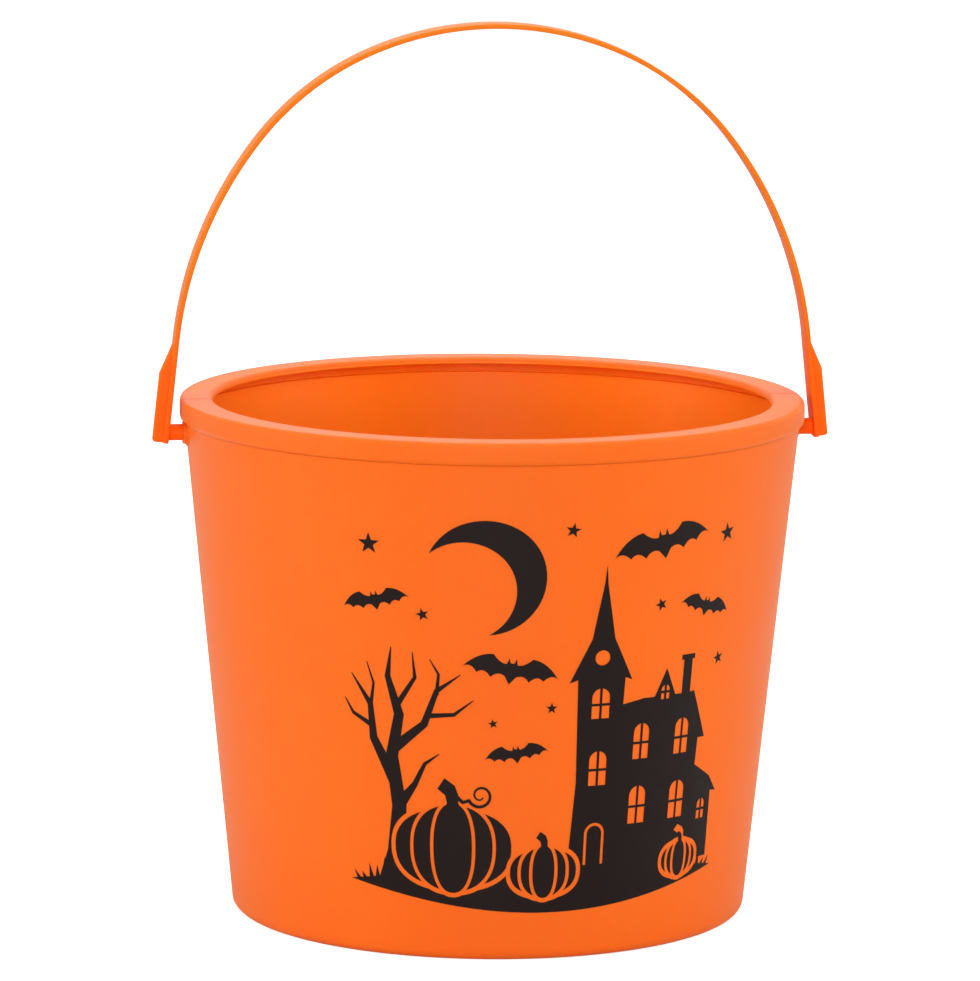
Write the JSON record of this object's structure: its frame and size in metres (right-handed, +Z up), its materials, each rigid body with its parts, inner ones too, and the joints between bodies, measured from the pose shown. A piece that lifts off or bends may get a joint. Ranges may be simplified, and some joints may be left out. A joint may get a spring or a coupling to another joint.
{
  "type": "candy pail",
  "caption": "Round tapered plastic treat pail with a flat-lipped rim, a strap handle that swings on pegs in two ears, and a one-colour print on its front.",
  "frame": {"origin": "middle of the base, on the plane of the ring that the pail stands on", "axes": "+Z up along the pail's axis, +X along the handle's hinge line, and the printed front faces -Y"},
  "size_m": [0.2562, 0.235, 0.3356],
  "materials": {
    "pail_plastic": "satin moulded orange polyethylene",
    "handle_plastic": "satin moulded orange polyethylene",
    "print_ink": "matte black printed film"
  },
  "bodies": {
    "pail_body": {"pail": "pail_plastic", "front_print": "print_ink"},
    "handle_body": {"handle": "handle_plastic"}
  },
  "joints": [
    {"name": "handle_swing", "type": "hinge", "parent": "pail_body", "child": "handle_body", "pos_m": [0, 0, 0.1825], "axis": [1, 0, 0], "range_deg": [-133, 133]}
  ]
}
